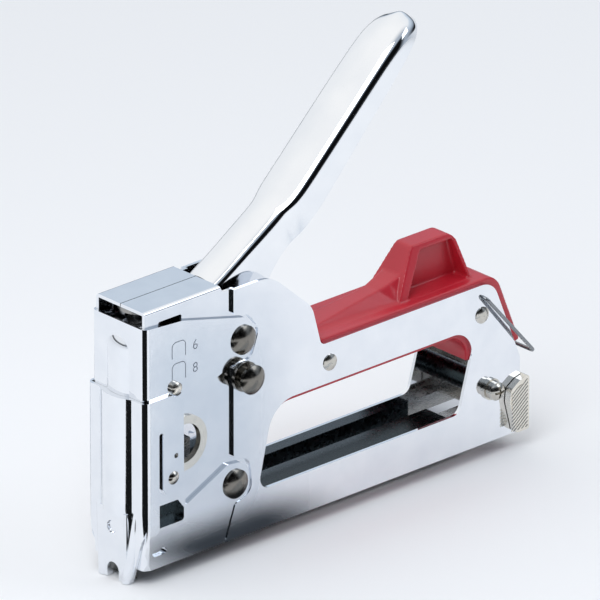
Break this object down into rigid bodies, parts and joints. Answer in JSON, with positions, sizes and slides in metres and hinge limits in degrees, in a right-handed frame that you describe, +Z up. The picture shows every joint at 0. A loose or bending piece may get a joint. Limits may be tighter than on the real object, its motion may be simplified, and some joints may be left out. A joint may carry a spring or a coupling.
{
  "type": "staple gun",
  "caption": "Hand staple gun: pressed steel shells round a hand opening, squeeze handle, spring plunger with blade, pull-out staple rail and plastic grip insert.",
  "frame": {"origin": "on the nose's working face, on the centre plane, in line with the front of the housing", "axes": "+X runs from the nose to the heel, +Y to the tool's right side, +Z up from the work to the handle"},
  "size_m": [0.1823, 0.0406, 0.17],
  "materials": {
    "shell_chrome": "bright chrome plate on pressed steel",
    "housing_chrome": "bright chrome plate on pressed steel",
    "handle_chrome": "bright chrome plate on pressed steel",
    "dark_nickel": "turned steel heads, dark nickel plate",
    "bright_nickel": "turned steel, bright nickel plate",
    "pale_nickel": "satin nickel plate, warm",
    "red_plastic": "moulded red plastic, semi-gloss",
    "dark_block": "dark phosphated steel",
    "bumper_rubber": "black rubber",
    "spring_wire": "drawn spring wire",
    "tool_steel": "ground tool steel",
    "staple_wire": "galvanised wire"
  },
  "bodies": {
    "body_frame": {"left_shell": "shell_chrome", "right_shell": "shell_chrome", "front_housing": "housing_chrome", "nose_plate": "housing_chrome", "nose_plate_rivets": "bright_nickel", "locating_studs": "pale_nickel", "window_bushes": "pale_nickel", "anchor_block": "dark_block", "upper_rivet": "dark_nickel", "lifter_pivot": "dark_nickel", "lower_rivet": "dark_nickel", "grip_insert": "red_plastic", "grip_rivets": "bright_nickel", "rear_screw": "bright_nickel", "rear_washers": "bright_nickel", "rear_nut": "bright_nickel", "rear_spacer": "bright_nickel", "spring_seat": "tool_steel", "bumper": "bumper_rubber", "magazine_channel": "tool_steel", "staple_strip": "staple_wire", "main_spring": "spring_wire"},
    "squeeze_handle": {"handle": "handle_chrome", "drive_pin": "bright_nickel"},
    "lift_lever": {"lifter": "tool_steel"},
    "drive_slide": {"plunger": "tool_steel", "driver_blade": "tool_steel", "blade_rivet": "bright_nickel"},
    "loading_rail": {"core_rail": "tool_steel", "pull_knob": "pale_nickel", "knob_rivet": "bright_nickel", "follower_spring": "spring_wire"},
    "feed_shoe": {"follower": "tool_steel"},
    "handle_lock": {"lock_bail": "spring_wire"}
  },
  "joints": [
    {"name": "handle_squeeze", "type": "hinge", "parent": "body_frame", "child": "squeeze_handle", "pos_m": [0.0452, 0, 0.0783], "axis": [0, 1, 0], "range_deg": [0, 38], "stiffness_Nm_per_rad": 12, "springref_deg": -2.86},
    {"name": "lifter_swing", "type": "hinge", "parent": "body_frame", "child": "lift_lever", "pos_m": [0.0452, 0, 0.065], "axis": [0, 1, 0], "range_deg": [0, 20.2]},
    {"name": "plunger_lift", "type": "slide", "parent": "body_frame", "child": "drive_slide", "axis": [0, 0, 1], "range_m": [0, 0.0127], "deforming": ["main_spring"]},
    {"name": "rail_pull", "type": "slide", "parent": "body_frame", "child": "loading_rail", "axis": [1, 0, 0], "range_m": [0, 0.11]},
    {"name": "follower_feed", "type": "slide", "parent": "loading_rail", "child": "feed_shoe", "axis": [1, 0, 0], "range_m": [0, 0.05], "stiffness_N_per_m": 40, "springref_m": -0.05},
    {"name": "bail_swing", "type": "hinge", "parent": "body_frame", "child": "handle_lock", "pos_m": [0.1568, 0, 0.0609], "axis": [0, -1, 0], "range_deg": [-4, 110]}
  ],
  "couplings": [
    {"joint": "lifter_swing", "follows": "handle_squeeze", "ratio": 0.5303},
    {"joint": "plunger_lift", "follows": "handle_squeeze", "m_per_rad": 0.019116}
  ]
}
